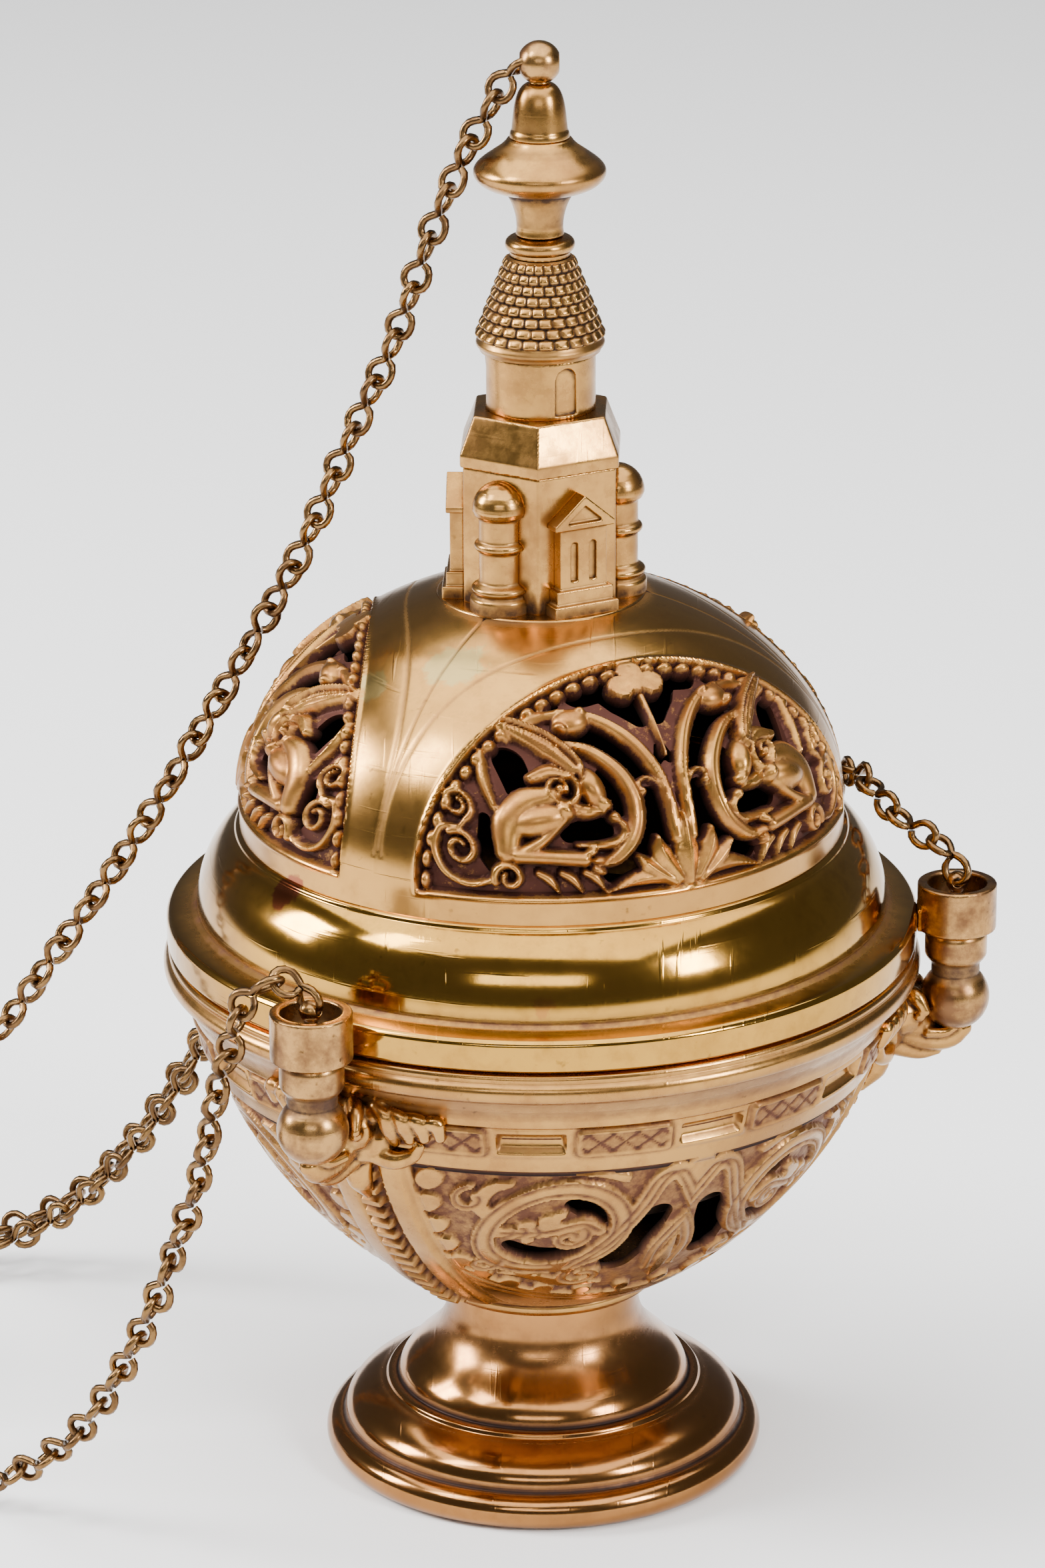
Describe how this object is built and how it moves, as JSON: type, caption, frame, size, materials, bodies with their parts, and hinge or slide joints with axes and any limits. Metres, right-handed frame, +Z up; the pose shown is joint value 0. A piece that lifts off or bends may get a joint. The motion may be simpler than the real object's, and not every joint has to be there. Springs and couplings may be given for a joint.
{
  "type": "thurible censer",
  "caption": "Footed brass incense burner whose pierced domed lid slides up suspension chains from a hand-piece.",
  "frame": {"origin": "centre of the foot's underside, on the surface that it stands on", "axes": "+Z up along the axis of foot, bowl and lid; one suspension chain post stands on +X, the others at 120 and 240 degrees"},
  "size_m": [0.2745, 0.1416, 0.2498],
  "materials": {
    "foot_brass": "polished, rosy",
    "bowl_brass": "polished, deposits in the relief",
    "mask_brass": "cast, dark in the hollows",
    "post_brass": "worn, mottled",
    "ring_brass": "worn, reddish",
    "lid_brass": "polished with fine scratches",
    "grille_brass": "cast relief, dark red-brown in the hollows",
    "tower_brass": "cast, burnished edges",
    "inner_brass": "dull, smoke stained",
    "handpiece_brass": "burnished",
    "chain_brass": "dull brown wire"
  },
  "bodies": {
    "base": {"foot": "foot_brass", "foot_bolt": "inner_brass", "foot_nut": "inner_brass", "bowl": "bowl_brass", "bowl_rib_right": "bowl_brass", "bowl_rib_rear": "bowl_brass", "bowl_rib_left": "bowl_brass", "mask_right": "mask_brass", "mask_rear": "mask_brass", "mask_left": "mask_brass", "post_right": "post_brass", "post_rear": "post_brass", "post_left": "post_brass", "chain_eye_right": "post_brass", "chain_eye_rear": "post_brass", "chain_eye_left": "post_brass", "handpiece_disc": "handpiece_brass", "handpiece_bush": "handpiece_brass", "handpiece_eyes": "handpiece_brass", "swivel_stud": "handpiece_brass", "chain_left": "chain_brass", "chain_right": "chain_brass", "chain_rear": "chain_brass", "chain_lid": "chain_brass", "coil_left": "chain_brass", "coil_right": "chain_brass", "coil_rear": "chain_brass", "coil_lid": "chain_brass"},
    "fire_pan": {"fire_pan": "inner_brass"},
    "lid": {"lid_shell": "lid_brass", "grille_front": "grille_brass", "grille_rear": "grille_brass", "grille_side": "grille_brass", "guide_ring_right": "ring_brass", "guide_ring_rear": "ring_brass", "guide_ring_left": "ring_brass", "tower_body": "tower_brass", "turret_right": "tower_brass", "turret_rear": "tower_brass", "turret_left": "tower_brass", "gable_front": "tower_brass", "gable_rear": "tower_brass", "gable_side": "tower_brass", "tower_roof": "tower_brass", "tower_drum": "tower_brass", "cone_roof": "tower_brass", "spire_collar": "tower_brass", "spire_knop": "tower_brass", "spire_bell": "tower_brass", "ball_eye": "post_brass", "tie_rod": "inner_brass", "tie_nut": "inner_brass"},
    "finger_ring": {"finger_ring": "handpiece_brass"},
    "lift_knob": {"lift_knob": "handpiece_brass"},
    "lift_ring": {"lift_ring": "handpiece_brass"}
  },
  "joints": [
    {"name": "lid_lift", "type": "slide", "parent": "base", "child": "lid", "axis": [0, 0, 1], "range_m": [0, 0.06], "deforming": ["chain_left", "chain_right", "chain_rear", "chain_lid"]},
    {"name": "pan_lift", "type": "slide", "parent": "base", "child": "fire_pan", "axis": [0, 0, 1], "range_m": [0, 0.015]},
    {"name": "finger_ring_swing", "type": "hinge", "parent": "base", "child": "finger_ring", "pos_m": [-0.165, 0.02, 0.0282], "axis": [0, -1, 0], "range_deg": [0, 100]},
    {"name": "lift_knob_slide", "type": "slide", "parent": "base", "child": "lift_knob", "axis": [0, 0, 1], "range_m": [0, 0.06]},
    {"name": "lift_ring_swing", "type": "hinge", "parent": "lift_knob", "child": "lift_ring", "pos_m": [-0.179, 0.02, 0.0302], "axis": [0, 1, 0], "range_deg": [0, 100]}
  ],
  "couplings": [
    {"joint": "lift_knob_slide", "follows": "lid_lift", "ratio": 1}
  ]
}
